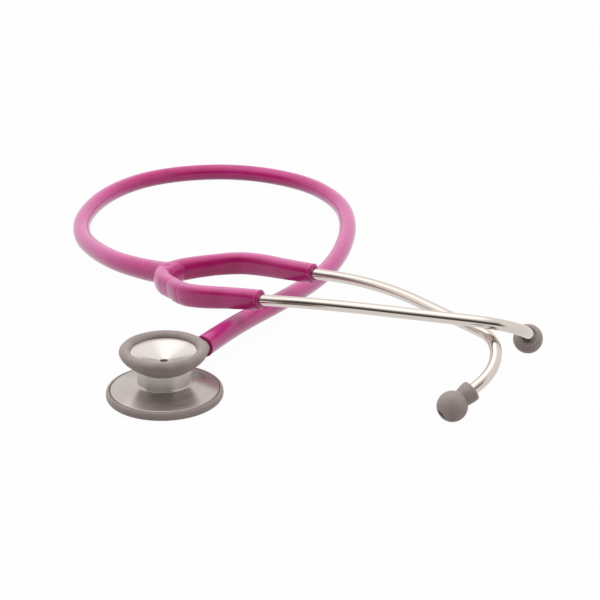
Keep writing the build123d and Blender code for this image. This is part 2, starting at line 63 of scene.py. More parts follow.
# %% Camera
camera_data = bpy.data.cameras.new("studio_camera")
camera_data.lens = 108.9
camera_data.sensor_width = 36.0
camera_data.clip_end = 20.0
camera = bpy.data.objects.new("studio_camera", camera_data)
camera.location = (0.05467, -0.6643, 0.3169)
camera.rotation_euler = (radians(67.54), 0.0, 0.0)
bpy.context.scene.collection.objects.link(camera)
bpy.context.scene.camera = camera
print("camera", camera_data.lens, "mm lens at", tuple(round(x, 3) for x in camera.location))

# %% [markdown]
# ## Helpers for materials
# Colours are written as the sRGB hex values a painter would name and turned to linear light once.
# One function adds a node with its settings and its links.

# %% Material helpers


def linear(hex_colour):
    """sRGB hex to linear RGBA: c/12.92 below 0.04045, else ((c + 0.055)/1.055)^2.4."""
    c = np.array([int(hex_colour[i : i + 2], 16) for i in (1, 3, 5)]) / 255.0
    c = np.where(c <= 0.04045, c / 12.92, ((c + 0.055) / 1.055) ** 2.4)
    return (float(c[0]), float(c[1]), float(c[2]), 1.0)


def add_node(tree, kind, settings=(), **inputs):
    """Adds a node; settings are its attributes, inputs its sockets by name, as values or links."""
    node = tree.nodes.new(kind)
    for key, value in dict(settings).items():
        setattr(node, key, value)
    for key, value in inputs.items():
        numbered = key[0] == "i" and key[1:].isdigit()
        socket = node.inputs[int(key[1:]) if numbered else key.replace("_", " ")]
        if isinstance(value, bpy.types.NodeSocket):
            tree.links.new(value, socket)
        else:
            socket.default_value = value
    return node


def new_material(name):
    """An empty node material with its Principled BSDF and the object's own coordinates."""
    material = bpy.data.materials.new(name)
    material.use_nodes = True
    tree = material.node_tree
    surface = tree.nodes["Principled BSDF"]
    place = add_node(tree, "ShaderNodeTexCoord").outputs["Object"]
    return material, tree, surface, place


def ramp(tree, factor, stops):
    """A colour ramp through (position, colour) stops."""
    node = add_node(tree, "ShaderNodeValToRGB", i0=factor)
    elements = node.color_ramp.elements
    while len(elements) < len(stops):
        elements.new(0.5)
    for element, (position, colour) in zip(elements, stops):
        element.position = position
        element.color = colour
    return node.outputs["Color"]


# %% [markdown]
# ## Pearl magenta PVC
# The tubing and the yoke are plasticised PVC, extruded and moulded, with a mica pearl in it. The mica
# flakes lie along the skin. Its violet sheen where it slopes away from view is a painted highlight in
# the base colour, and the plasticiser leaves a thin glossy skin, which is a coat. Faint mottling comes
# from flow in the mould. Noise scales are cells per metre: 140 gives mottles about 7 mm wide, and 2600
# gives flakes of 0.4 mm, which is coarser than real mica so that they show at all.

# %% Pearl PVC
pvc, tree, surface, place = new_material("pearl_magenta_pvc")
flow = add_node(tree, "ShaderNodeTexNoise", Vector=place, Scale=140.0, Detail=3.0, Roughness=0.55)
flakes = add_node(tree, "ShaderNodeTexNoise", Vector=place, Scale=2600.0, Detail=1.0)
tint = ramp(tree, flow.outputs["Fac"], [(0.3, linear("#A8125E")), (0.7, linear("#BC1E74"))])
# painted sheen: where the skin slopes away from view, the base colour turns to violet pink, a painted
# highlight
slope = add_node(tree, "ShaderNodeLayerWeight", Blend=0.5).outputs["Facing"]
greys = [(0.15, 0.0), (0.4, 0.1), (0.65, 0.3), (0.85, 0.2), (1.0, 0.0)]
painted_sheen_share = ramp(tree, slope, [(at, (grey, grey, grey, 1.0)) for at, grey in greys])
painted_sheen = add_node(tree, "ShaderNodeMix", {"data_type": "RGBA"}, i0=painted_sheen_share, i6=tint, i7=linear("#C25CB4"))
tree.links.new(painted_sheen.outputs[2], surface.inputs["Base Color"])
rough = add_node(tree, "ShaderNodeMapRange", i0=flow.outputs["Fac"], i1=0.3, i2=0.7, i3=0.28, i4=0.36)
tree.links.new(rough.outputs["Result"], surface.inputs["Roughness"])
surface.inputs["IOR"].default_value = 1.53
surface.inputs["Specular IOR Level"].default_value = 0.2
surface.inputs["Specular Tint"].default_value = linear("#E0C0FF")
surface.inputs["Coat Weight"].default_value = 0.75
surface.inputs["Coat Roughness"].default_value = 0.18
surface.inputs["Sheen Weight"].default_value = 0.05
surface.inputs["Sheen Roughness"].default_value = 0.35
surface.inputs["Sheen Tint"].default_value = linear("#B070F0")
skin = add_node(tree, "ShaderNodeBump", Height=flow.outputs["Fac"], Strength=0.25, Distance=0.0002)
grain = add_node(
    tree,
    "ShaderNodeBump",
    Height=flakes.outputs["Fac"],
    Strength=0.12,
    Distance=0.00005,
    Normal=skin.outputs["Normal"],
)
tree.links.new(grain.outputs["Normal"], surface.inputs["Normal"])
print("made", pvc.name)

# %% [markdown]
# ## Grey elastomer
# The rims and the ear tips are a soft moulded rubber-like elastomer, warm grey and matte. A blasted
# mould leaves a fine texture, drawn here as grains of 0.2 mm, and the grey drifts over some 5 mm.

# %% Grey elastomer
elastomer, tree, surface, place = new_material("grey_elastomer")
cloud = add_node(tree, "ShaderNodeTexNoise", Vector=place, Scale=220.0, Detail=3.0)
blast = add_node(tree, "ShaderNodeTexNoise", Vector=place, Scale=5200.0, Detail=2.0)
grey = ramp(tree, cloud.outputs["Fac"], [(0.3, linear("#8E817F")), (0.7, linear("#988B89"))])
tree.links.new(grey, surface.inputs["Base Color"])
surface.inputs["Roughness"].default_value = 0.55
surface.inputs["IOR"].default_value = 1.45
surface.inputs["Specular IOR Level"].default_value = 0.4
surface.inputs["Sheen Weight"].default_value = 0.08
matte = add_node(tree, "ShaderNodeBump", Height=blast.outputs["Fac"], Strength=0.15, Distance=0.00004)
tree.links.new(matte.outputs["Normal"], surface.inputs["Normal"])
print("made", elastomer.name)

# %% [markdown]
# ## Turned stainless steel
# The chestpiece is turned on a lathe, so its surface carries fine circular grooves. They stretch each
# highlight across the grooves, which gives the bright and dark wedges. The grooves run in the
# surface's own u direction, and the pattern is drawn along v, in millimetres of the profile: 6 cells
# for each millimetre, and 3 for each turn, so a groove fades and returns on its way round.

# %% Turned steel


def steel(name, colour_low, colour_high, roughness, anisotropy, groove_strength):
    """Stainless steel; UV holds turns in x and millimetres along the profile in y."""
    material, tree, surface, place = new_material(name)
    uv = add_node(tree, "ShaderNodeUVMap", {"uv_map": "profile"}).outputs["UV"]
    stretch = add_node(tree, "ShaderNodeMapping", Vector=uv, Scale=(3.0, 6.0, 1.0))
    lines = add_node(
        tree, "ShaderNodeTexNoise", Vector=stretch.outputs["Vector"], Scale=1.0, Detail=4.0, Roughness=0.7
    )
    tone = ramp(tree, lines.outputs["Fac"], [(0.3, linear(colour_low)), (0.7, linear(colour_high))])
    tree.links.new(tone, surface.inputs["Base Color"])
    dull, bright = roughness * 1.15, roughness * 0.85
    wear = add_node(tree, "ShaderNodeMapRange", i0=lines.outputs["Fac"], i1=0.3, i2=0.7, i3=bright, i4=dull)
    tree.links.new(wear.outputs["Result"], surface.inputs["Roughness"])
    surface.inputs["Metallic"].default_value = 1.0
    surface.inputs["Anisotropic"].default_value = anisotropy
    surface.inputs["Anisotropic Rotation"].default_value = 0.25
    if anisotropy > 0:
        tangent = add_node(tree, "ShaderNodeTangent", {"direction_type": "UV_MAP", "uv_map": "profile"})
        tree.links.new(tangent.outputs["Tangent"], surface.inputs["Tangent"])
    groove = add_node(
        tree, "ShaderNodeBump", Height=lines.outputs["Fac"], Strength=groove_strength, Distance=0.00002
    )
    tree.links.new(groove.outputs["Normal"], surface.inputs["Normal"])
    return material


turned_steel = steel("turned_stainless_steel", "#ABA29D", "#CBC3BE", 0.3, 0.85, 0.25)
cone_steel = steel("cone_stainless_steel", "#D8D2CD", "#E6E0DB", 0.28, 0.7, 0.12)
bright_steel = steel("polished_stainless_steel", "#CCC3BC", "#D5CDC6", 0.1, 0.2, 0.03)
spring_steel = steel("spring_steel", "#8E8C8A", "#9A9896", 0.35, 0.0, 0.1)
print("made", [metal.name for metal in (turned_steel, cone_steel, bright_steel, spring_steel)])

# %% [markdown]
# ## Surfaces from numpy
# A piece is a grid of points: one way along the piece, the other way round it. The grid is filled as
# whole arrays, turned into faces the same way, and given the UV map that the metals use.

# %% Grid to mesh


def grid_faces(index, wrap_along):
    """Four corners (i, j), (i, j + 1), (i + 1, j + 1), (i + 1, j) for each cell; j wraps round."""
    below = index if wrap_along else index[:-1]
    above = np.roll(index, -1, axis=0) if wrap_along else index[1:]
    corners = [below, np.roll(below, -1, axis=1), np.roll(above, -1, axis=1), above]
    return np.stack(corners, axis=-1).reshape(-1, 4)


def grid_uv(grid, cell_rows):
    """UV of each cell's corners: x is turns round the piece, y the mean millimetres run along it."""
    around = grid.shape[1]
    steps = np.linalg.norm(np.diff(grid, axis=0), axis=-1).mean(axis=1) / MM
    run = np.concatenate([[0.0], np.cumsum(steps)])
    run = np.append(run, run[-1] + 1.0)
    turn = np.arange(around + 1) / around
    row = np.repeat(np.arange(cell_rows), around)
    column = np.tile(np.arange(around), cell_rows)
    corners = [(column, row), (column + 1, row), (column + 1, row + 1), (column, row + 1)]
    return np.stack([np.stack([turn[j], run[i]], -1) for j, i in corners], axis=1)


def grid_mesh(
    name, grid, materials, wrap_along=False, pole_start=False, pole_end=False, material_rows=None
):
    """Makes a mesh from points[i, j], whose j wraps round, with its cells as faces.

    wrap_along joins the last row to the first. A pole closes an end with a fan to its middle.
    material_rows gives each row of cells its material's number.
    """
    rows, around = grid.shape[:2]
    index = np.arange(rows * around).reshape(rows, around)
    quads = grid_faces(index, wrap_along)
    points = grid.reshape(-1, 3)
    fans = []
    if pole_start:
        points = np.vstack([points, grid[0].mean(axis=0)])
        first = index[0]
        fans.append(np.stack([np.roll(first, -1), first, np.full(around, len(points) - 1)], axis=-1))
    if pole_end:
        points = np.vstack([points, grid[-1].mean(axis=0)])
        last = index[-1]
        fans.append(np.stack([last, np.roll(last, -1), np.full(around, len(points) - 1)], axis=-1))
    fans = np.vstack(fans) if fans else np.zeros((0, 3), int)
    corners = np.concatenate([quads.ravel(), fans.ravel()])
    sizes = np.concatenate([np.full(len(quads), 4), np.full(len(fans), 3)])
    mesh = bpy.data.meshes.new(name)
    mesh.vertices.add(len(points))
    mesh.vertices.foreach_set("co", points.astype(np.float32).ravel())
    mesh.loops.add(len(corners))
    mesh.loops.foreach_set("vertex_index", corners.astype(np.int32))
    mesh.polygons.add(len(sizes))
    mesh.polygons.foreach_set("loop_start", (np.cumsum(sizes) - sizes).astype(np.int32))
    mesh.polygons.foreach_set("use_smooth", np.ones(len(sizes), bool))
    mesh.update(calc_edges=True)
    mesh.validate()
    cell_rows = len(quads) // around
    uv = np.concatenate([grid_uv(grid, cell_rows).ravel(), np.zeros(fans.size * 2)])
    layer = mesh.uv_layers.new(name="profile")
    layer.data.foreach_set("uv", uv.astype(np.float32))
    for material in materials:
        mesh.materials.append(material)
    if material_rows is not None:
        per_face = np.concatenate([np.repeat(material_rows[:cell_rows], around), np.zeros(len(fans), int)])
        mesh.polygons.foreach_set("material_index", per_face.astype(np.int32))
    piece = bpy.data.objects.new(name, mesh)
    bpy.context.scene.collection.objects.link(piece)
    print(name, len(mesh.vertices), "points")
    return piece


def unit(v):
    """v divided by its length, along the last axis."""
    v = np.asarray(v, float)
    return v / np.linalg.norm(v, axis=-1, keepdims=True)


# %% [markdown]
# ## Profiles
# A lathe profile is a chain of points with a corner radius each, in millimetres. Each corner becomes a
# short arc, because no real edge is perfectly sharp and a small round catches the light.

# %% Profile helpers


def rounded_profile(corners, steps=6):
    """Polyline (x, y, r) with each corner replaced by an arc of radius r tangent to both sides.

    The tangent length is r * tan(turn / 2), cut to just under half of the shorter side.
    """
    most_of_side = 0.48
    xy = np.array([c[:2] for c in corners], float)
    out = [xy[:1]]
    for k in range(1, len(xy) - 1):
        before, after = xy[k] - xy[k - 1], xy[k + 1] - xy[k]
        side_a, side_b = np.linalg.norm(before), np.linalg.norm(after)
        d_in, d_out = before / side_a, after / side_b
        turn = np.arccos(np.clip(d_in @ d_out, -1, 1))
        radius = corners[k][2]
        reach = min(radius * np.tan(turn / 2), most_of_side * min(side_a, side_b))
        if reach < 1e-6:
            out.append(xy[k : k + 1])
            continue
        a, b = xy[k] - d_in * reach, xy[k] + d_out * reach
        t = np.linspace(0, 1, steps + 1)[:, None]
        # a rational quadratic through the corner is a true arc when its weight is cos(turn / 2)
        w = np.cos(turn / 2)
        down = (1 - t) ** 2 + 2 * w * t * (1 - t) + t**2
        out.append(((1 - t) ** 2 * a + 2 * w * t * (1 - t) * xy[k] + t**2 * b) / down)
    out.append(xy[-1:])
    return np.vstack(out)


def smooth_line(points, per_span=8):
    """Catmull-Rom curve through points: cubic Hermite with tangents (next - previous) / 2."""
    p = np.asarray(points, float)
    ends = np.vstack([2 * p[0] - p[1], p, 2 * p[-1] - p[-2]])
    t = np.linspace(0, 1, per_span, endpoint=False)[None, :, None]
    p0, p1, p2, p3 = (ends[i : i + len(p) - 1, None, :] for i in range(4))
    square = 2 * p0 - 5 * p1 + 4 * p2 - p3
    cube = 3 * p1 - p0 - 3 * p2 + p3
    spans = 0.5 * (2 * p1 + (p2 - p0) * t + square * t**2 + cube * t**3)
    return np.vstack([spans.reshape(-1, p.shape[1]), p[-1:]])


def refine(profile, longest):
    """Adds points on the profile so that no step is longer than `longest`."""
    out = [profile[:1]]
    for a, b in zip(profile[:-1], profile[1:]):
        count = max(1, int(np.ceil(np.linalg.norm(b - a) / longest)))
        out.append(a + (b - a) * (np.arange(1, count + 1) / count)[:, None])
    return np.vstack(out)


def turned_grid(profile, origin, axis, across, segments):
    """Surface of revolution: origin + h * axis + r * (cos * across + sin * axis x across), in metres."""
    axis, across = unit(axis), unit(across)
    third = np.cross(axis, across)
    angle = np.arange(segments) * 2 * pi / segments
    ring = np.cos(angle)[:, None] * across + np.sin(angle)[:, None] * third
    r, h = profile[:, 0] * MM, profile[:, 1] * MM
    return np.asarray(origin, float) * MM + h[:, None, None] * axis + r[:, None, None] * ring[None]


# %% [markdown]
# ## Chestpiece body
# One piece of stainless steel turned on a lathe: a broad drum for the diaphragm, a waist bored for the
# stem, and the bell with its polished cone and its sound hole. A single profile carried round the
# axis gives the true form; the bell's cone takes the polished steel and the rest the turned one.

# %% Chestpiece body
body_outline = rounded_profile(
    [
        (0.02, 2.1, 0.0),
        (19.3, 1.55, 0.1),
        (19.3, 1.35, 0.1),
        (22.0, 1.35, 0.2),
        (22.0, 3.7, 0.1),
        (21.75, 3.95, 0.12),
        (10.9, 6.84, 0.9),
        (10.9, 13.2, 0.3),
        (11.4, 13.7, 0.2),
        (15.2, 18.0, 0.3),
        (15.2, 19.95, 0.15),
        (13.4, 19.95, 0.12),
        (13.25, 19.75, 0.12),
        (1.6, 16.12, 0.2),
        (1.5, 15.7, 0.1),
        (1.5, 11.5, 0.1),
        (0.02, 11.4, 0.0),
    ]
)
LONGEST_STEP, CONE_FOOT, CONE_EDGE = 0.5, 15.0, 13.3
body_outline = refine(body_outline, LONGEST_STEP)
polished = ((body_outline[:-1, 1] > CONE_FOOT) & (body_outline[:-1, 0] < CONE_EDGE)).astype(int)
chestpiece = grid_mesh(
    "turned_chestpiece",
    turned_grid(body_outline, (0, 0, 0), UP, (1, 0, 0), 224),
    [turned_steel, cone_steel],
    pole_start=True,
    pole_end=True,
    material_rows=polished,
)
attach(chestpiece, "head")
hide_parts("chestpiece_body")

# %% [markdown]
# ## Rims
# Two soft rings keep cold metal off the skin. The bell's ring is a fat moulding stretched over the
# bell's edge; the drum's ring is thinner and also clamps the diaphragm. Both are closed profiles
# carried round the axis.

# %% Rims
bell_ring_outside = smooth_line(
    [
        (11.5, 13.66),
        (12.8, 14.4),
        (14.4, 15.6),
        (16.8, 17.9),
        (17.9, 20.2),
        (17.3, 21.6),
        (16.1, 22.25),
        (14.95, 22.05),
        (14.25, 21.7),
        (13.8, 21.3),
        (13.4, 20.6),
    ],
    6,
)
bell_ring_inside = np.array([(13.35, 20.02), (15.25, 20.02), (15.25, 18.0)])
bell_ring = grid_mesh(
    "bell_ring",
    turned_grid(np.vstack([bell_ring_outside, bell_ring_inside]), (0, 0, 0), UP, (1, 0, 0), 192),
    [elastomer],
    wrap_along=True,
)
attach(bell_ring, "head")
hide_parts("bell_rim")

drum_ring_outside = smooth_line(
    [
        (19.6, 0.03),
        (21.6, 0.03),
        (22.9, 0.27),
        (23.6, 0.95),
        (23.75, 1.8),
        (23.68, 2.8),
        (23.3, 3.55),
        (22.75, 3.85),
        (22.38, 3.72),
        (22.1, 3.3),
    ],
    5,
)
drum_ring_inside = np.array(
    [(22.05, 2.9), (22.05, 1.32), (21.4, 1.32), (21.4, 0.85), (19.55, 0.85), (19.5, 0.1)]
)
drum_ring = grid_mesh(
    "drum_ring",
    turned_grid(np.vstack([drum_ring_outside, drum_ring_inside]), (0, 0, 0), UP, (1, 0, 0), 224),
    [elastomer],
    wrap_along=True,
)
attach(drum_ring, "head")
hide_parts("diaphragm_rim")

# %% [markdown]
# ## Tubing
# One length of free PVC tubing, 518 mm as it lies from the stem to the yoke. Its line is a smooth
# spline through a few control points, low on the table, and its radius grows a little over
# the stem's barb and where it runs into the yoke.

# %% Tubing
TUBING_RADIUS = 4.15
# x, y and z of each control point, and how much the radius swells there
tube_route = [
    (14.36, 27.36, 10.0, 1.12),
    (25.6, 48.7, 10.0, 1.06),
    (47.5, 85.5, 7.0, 1.03),
    (64.5, 120.0, 4.15, 1.0),
    (74.5, 151.0, 4.15, 1.0),
    (79.5, 188.0, 4.15, 1.0),
    (76.0, 225.0, 4.15, 1.0),
    (57.0, 258.5, 4.15, 1.0),
    (18.5, 277.5, 4.15, 1.0),
    (-23.0, 268.5, 4.15, 1.0),
    (-46.5, 240.5, 4.15, 1.0),
    (-55.9, 203.1, 4.15, 1.0),
    (-53.1, 173.0, 4.3, 1.0),
    (-41.5, 143.0, 7.6, 1.05),
    (-25.8, 116.8, 11.3, 1.12),
    (-12.3, 103.7, 13.7, 1.2),
]
cord_data = bpy.data.curves.new("tubing_run", "CURVE")
cord_data.dimensions = "3D"
spline = cord_data.splines.new("NURBS")
spline.points.add(len(tube_route) - 1)
for point, (x, y, z, swell) in zip(spline.points, tube_route):
    point.co = (x * MM, y * MM, z * MM, 1.0)
    point.radius = swell
spline.order_u = 3
spline.use_endpoint_u = True
cord_data.resolution_u = 24
cord_data.bevel_depth = TUBING_RADIUS * MM
cord_data.bevel_resolution = 12
cord_data.use_fill_caps = True
cord_data.materials.append(pvc)
tubing = bpy.data.objects.new("tubing_run", cord_data)
bpy.context.scene.collection.objects.link(tubing)
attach(tubing, "root")
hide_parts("tubing")
print("tubing", len(tube_route), "route points")

# %% [markdown]
# ## The headset's own axes
# The yoke, its arms and the ear tubes leave the table at a slant, so they are drawn in a plane of
# their own: `along` from the yoke to the ear tips, `aside` across, and a normal that is roughly up.
# Each side is pitched a little out of that plane, which is why one ear tube passes over the other.

# %% Headset axes
YOKE_CENTRE = np.array([-4.1, 95.5, 15.55])
HEADING, RISE, ROLL, PITCH = np.radians([-34.0, 7.5, 3.2, 1.65])
PITCH_PIVOT = 6.0
SIDES = {"left": 1.0, "right": -1.0}

along_axis = np.array([cos(RISE) * cos(HEADING), cos(RISE) * sin(HEADING), sin(RISE)])
level_axis = np.array([-sin(HEADING), cos(HEADING), 0.0])
flat_normal = np.cross(along_axis, level_axis)
headset_normal = flat_normal * cos(ROLL) - level_axis * sin(ROLL)
aside_axis = np.cross(headset_normal, along_axis)


def side_axes(side):
    """Origin, along, aside (outwards) and normal of one side, pitched about the aside axis.

    The pitch turns about a point PITCH_PIVOT mm along the headset from the yoke's centre.
    """
    turn = SIDES[side] * PITCH
    along = along_axis * cos(turn) - headset_normal * sin(turn)
    normal = headset_normal * cos(turn) + along_axis * sin(turn)
    origin = YOKE_CENTRE + PITCH_PIVOT * (along_axis - along)
    return origin, along, SIDES[side] * aside_axis, normal


# %% [markdown]
# ## Ear tubes
# Each is a stainless tube, 4.8 mm across, bent on a mandrel: a long gentle arc, then a tight hook into
# the ear tip. A circle carried along straight runs and arcs is exactly what the bender makes.

# %% Ear tubes


def bent_path(pieces, step=0.8):
    """Points and directions along straights ("run", length) and arcs ("arc", radius, degrees)."""
    place, heading = np.zeros(2), 0.0
    points, headings = [np.zeros((1, 2))], [np.zeros(1)]
    for piece in pieces:
        if piece[0] == "run":
            t = np.linspace(0, piece[1], max(2, int(piece[1] / 2.0)) + 1)[1:]
            points.append(place + t[:, None] * [cos(heading), sin(heading)])
            headings.append(np.full(len(t), heading))
        else:
            radius, turn = piece[1], radians(piece[2])
            t = np.linspace(0, turn, max(8, int(radius * turn / step)) + 1)[1:]
            centre = place + radius * np.array([-sin(heading), cos(heading)])
            points.append(centre + radius * np.stack([np.sin(heading + t), -np.cos(heading + t)], -1))
            headings.append(heading + t)
            heading += turn
        place = points[-1][-1]
    return np.vstack(points), np.concatenate(headings)


ARM_END, TUBE_ASIDE, INSERTION = 65.4, 20.0, 18.7
HOOK = [
    ("run", INSERTION + 10.0),
    ("arc", 166.0, 16.5),
    ("run", 36.8),
    ("arc", 18.7, 98.9),
    ("run", 10.1),
]
TUBE_RADIUS, TOE_IN, TIP_DEPTH = 2.4, radians(1.4), 6.5
TWIST = {"left": radians(25.8), "right": radians(32.8)}


def tube_axes(side):
    """Seat of the ear tube, its direction, and the direction in which its hook bends."""
    origin, along, aside, normal = side_axes(side)
    seat = origin + ARM_END * along + TUBE_ASIDE * aside
    forward = along * cos(TOE_IN) - aside * sin(TOE_IN)
    inwards = -along * sin(TOE_IN) - aside * cos(TOE_IN)
    return seat, forward, inwards * cos(TWIST[side]) - normal * sin(TWIST[side])


tip_places = {}
for side in SIDES:
    seat, forward, inwards = tube_axes(side)
    flat, headings = bent_path(HOOK)
    flat = flat - [INSERTION, 0.0]
    middle = seat + flat[:, :1] * forward + flat[:, 1:] * inwards
    lean = -np.sin(headings)[:, None] * forward + np.cos(headings)[:, None] * inwards
    stand = np.cross(forward, inwards)
    angle = np.arange(72) * 2 * pi / 72
    ring = np.cos(angle)[None, :, None] * lean[:, None] + np.sin(angle)[None, :, None] * stand
    grid = (middle[:, None] + TUBE_RADIUS * ring) * MM
    tube = grid_mesh(f"{side}_bent_tube", grid, [bright_steel], pole_start=True, pole_end=True)
    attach(tube, f"{side}_tube")
    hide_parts(f"{side}_ear_tube")
    end_direction = cos(headings[-1]) * forward + sin(headings[-1]) * inwards
    tip_places[side] = (middle[-1] - TIP_DEPTH * end_direction, end_direction, stand)

# %% [markdown]
# ## Ear tips
# Soft tips screwed on the tubes' ends: a short collar, a slight waist and a ball with a sound hole.
# The mouth of the collar is open round the tube, so a dark ring shows there.

# %% Ear tips
collar = smooth_line(
    [
        (3.0, 1.6),
        (3.05, 0.35),
        (3.5, 0.0),
        (4.05, 0.15),
        (4.32, 0.7),
        (4.3, 2.2),
        (4.0, 4.1),
        (3.85, 4.9),
    ],
    6,
)
BALL_RADIUS, BALL_CENTRE, BALL_FOOT = 6.2, 10.5, 3.95
HOLE_RADIUS, HOLE_CHAMFER = 1.9, 0.55
ball_start = pi - np.arcsin(BALL_FOOT / BALL_RADIUS)
ball_angle = np.linspace(ball_start, np.arcsin((HOLE_RADIUS + HOLE_CHAMFER) / BALL_RADIUS), 40)
ball = np.stack([BALL_RADIUS * np.sin(ball_angle), BALL_CENTRE + BALL_RADIUS * np.cos(ball_angle)], -1)
waist = smooth_line([(3.75, 4.9), (3.8, 5.35), tuple(ball[0])], 5)[1:-1]
hole = np.array(
    [
        (HOLE_RADIUS + 0.3, 16.1),
        (HOLE_RADIUS + 0.1, 15.95),
        (HOLE_RADIUS, 15.7),
        (HOLE_RADIUS, 13.0),
        (HOLE_RADIUS, 9.5),
        (3.0, 9.4),
        (3.0, 5.0),
    ]
)
tip_profile = np.vstack([collar, waist, ball, hole])
for side, (place, direction, stand) in tip_places.items():
    tip = grid_mesh(
        f"{side}_soft_tip",
        turned_grid(tip_profile, place, direction, stand, 96),
        [elastomer],
        wrap_along=True,
    )
    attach(tip, f"{side}_tip")
    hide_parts(f"{side}_ear_tip")

# %% [markdown]
# ## Yoke arms
# Each arm is one soft moulding over the leaf spring's leg and the ear tube's end: a tall oval section
# that narrows towards the tube and ends in a small rolled lip. On the instrument it flexes at its root;
# here it is one fixed mesh, which grows out of the yoke's stub there.

# %% Yoke arms


def oval(round_points, squareness):
    """Unit superellipses |x|^n + |y|^n = 1 as (up, out) pairs, one row for each n; n > 2 squares it."""
    angle = np.arange(round_points) * 2 * pi / round_points
    corners = np.stack([np.cos(angle), np.sin(angle)], -1)[None]
    power = 2.0 / np.atleast_1d(squareness)[:, None, None]
    return np.sign(corners) * np.abs(corners) ** power


def side_loft(side, line, sizes, squareness=2.25, round_points=72):
    """Carries an oval along a flat line (along, aside): centre + h * up * normal + w * out * across.

    sizes holds h and w, half the height and half the width, for each point of the line.
    """
    origin, along, aside, normal = side_axes(side)
    tangent = unit(np.gradient(line, axis=0))
    centre = origin + line[:, :1] * along + line[:, 1:] * aside
    across = -tangent[:, 1:] * along + tangent[:, :1] * aside
    shape = oval(round_points, squareness)
    # the two sides mirror each other, so one of them runs its ovals the other way to face outwards
    turn = -SIDES[side]
    up = sizes[:, :1, None] * shape[:, :, :1] * normal
    out = sizes[:, 1:2, None] * shape[:, :, 1:] * turn * across[:, None, :]
    return (centre[:, None] + up + out) * MM


# half the height and half the width of the arm's mouth, and how far back its rolled lip reaches
ARM_MOUTH, LIP_REACH = (4.2, 3.7), 2.7
SEAM_PLACE, SEAM_WIDTH = 23.6, 0.4
SEAM_DEPTH = {"left": 0.0, "right": 0.2}
arm_line = [
    (12.2, 13.8),
    (15.95, 16.3),
    (20.6, 18.9),
    (26.0, 20.8),
    (31.0, 21.45),
    (36.35, 21.55),
    (41.5, 21.25),
    (46.7, 20.8),
    (56.0, 20.3),
    (ARM_END - 3.0, TUBE_ASIDE + 3.0 * np.tan(TOE_IN)),
    (ARM_END, TUBE_ASIDE),
]
# each pair is a place before the mouth, and what the lip adds there: grooved behind, full at the edge
lip = np.array([(-2.6, 0.0), (-1.9, -0.22), (-1.2, 0.05), (-0.5, 0.1), (-0.12, -0.15), (0.0, -0.55)])
# each pair is a place inside the mouth, and the round hole's radius there
hole = np.array([(0.0, 2.75), (-0.25, 2.6), (-2.5, 2.55), (-3.0, 2.3)])


def arm_sizes(side, line):
    """Half height and half width along an arm, less a Gaussian dip for the parting groove.

    The groove is where the right arm leaves the Y's heel.
    """
    places = [12.2, 14.5, 26, 36, 47, ARM_END]
    height = np.interp(line[:, 0], places, [4.3, 4.83, 4.9, 4.85, 4.55, ARM_MOUTH[0]])
    width = np.interp(line[:, 0], places, [3.2, 3.62, 3.55, 3.5, 3.55, ARM_MOUTH[1]])
    seam = SEAM_DEPTH[side] * np.exp(-(((line[:, 0] - SEAM_PLACE) / SEAM_WIDTH) ** 2))
    return np.stack([height - seam, width - seam], -1)


def arm_grid(side):
    """The loft of one arm: its plain run, then the rolled lip, then the hole back round the tube."""
    line = smooth_line(arm_line, 10)
    sizes = arm_sizes(side, line)
    mouth, direction = line[-1], unit(line[-1] - line[-2])
    plain = (mouth - line) @ direction > LIP_REACH
    line = np.vstack([line[plain], mouth + lip[:, :1] * direction])
    sizes = np.vstack([sizes[plain], np.array(ARM_MOUTH) + lip[:, 1:]])
    squareness = np.interp(line[:, 0], [13, 20, 46, 60, ARM_END], [2.6, 3.1, 3.1, 2.7, 2.4])
    line = np.vstack([line, mouth + hole[:, :1] * direction])
    sizes = np.vstack([sizes, np.repeat(hole[:, 1:], 2, axis=1)])
    squareness = np.concatenate([squareness, np.full(len(hole), 2.0)])
    return side_loft(side, line, sizes, squareness)


for side in SIDES:
    arm = grid_mesh(f"{side}_arm_moulding", arm_grid(side), [pvc], pole_start=True, pole_end=True)
    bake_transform(arm)
    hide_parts(f"{side}_yoke_arm")

# %% [markdown]
# ## Yoke
# The Y where one tube becomes two. It is moulded round cores in one shot, so its branches run into
# each other. Four lofts are drawn first: two stubs, the web between them and the spigot for the
# tubing, because each is a simple oval carried along a line.

# %% Yoke lofts
stub_lines = {
    "left": [
        (-1.8, -1.0),
        (0.8, 2.6),
        (2.9, 5.9),
        (7.2, 10.0),
        (10.3, 12.4),
        (13.7, 14.85),
        (15.3, 15.85),
    ],
    "right": [
        (-2.2, -1.0),
        (-0.1, 3.6),
        (1.9, 7.2),
        (6.3, 11.1),
        (10.0, 13.2),
        (13.7, 15.0),
        (15.3, 15.85),
    ],
}
stubs = []
for side in SIDES:
    line = smooth_line(stub_lines[side], 6)
    # full as far as the arm's root, then thinner, so that its end hides inside the arm
    places = [-2, 3, 11, 14.2, 15.3]
    height = np.interp(line[:, 0], places, [4.9, 5.0, 4.9, 4.9, 4.3])
    width = np.interp(line[:, 0], places, [4.0, 4.1, 3.78, 3.7, 3.1])
    stub = side_loft(side, line, np.stack([height, width], -1), 2.7)
    stubs.append(grid_mesh(f"{side}_stub", stub, [pvc], pole_start=True, pole_end=True))
WEB_PLACE, WEB_REACH, WEB_HALVES = 2.6, 4.5, (4.7, 3.4)
across_web = np.linspace(-WEB_REACH, WEB_REACH, 9)
web_line = np.stack([np.full(len(across_web), WEB_PLACE), across_web], -1)
web = side_loft("left", web_line, np.tile(WEB_HALVES, (len(across_web), 1)), 2.5)
stubs.append(grid_mesh("web", web, [pvc], pole_start=True, pole_end=True))
spigot_line = smooth_line(
    [
        (-13.7, 105.05, 13.45),
        tube_route[-1][:3],
        (-8.2, 99.6, 14.6),
        tuple(YOKE_CENTRE),
        (-2.0, 93.8, 15.9),
    ],
    6,
)
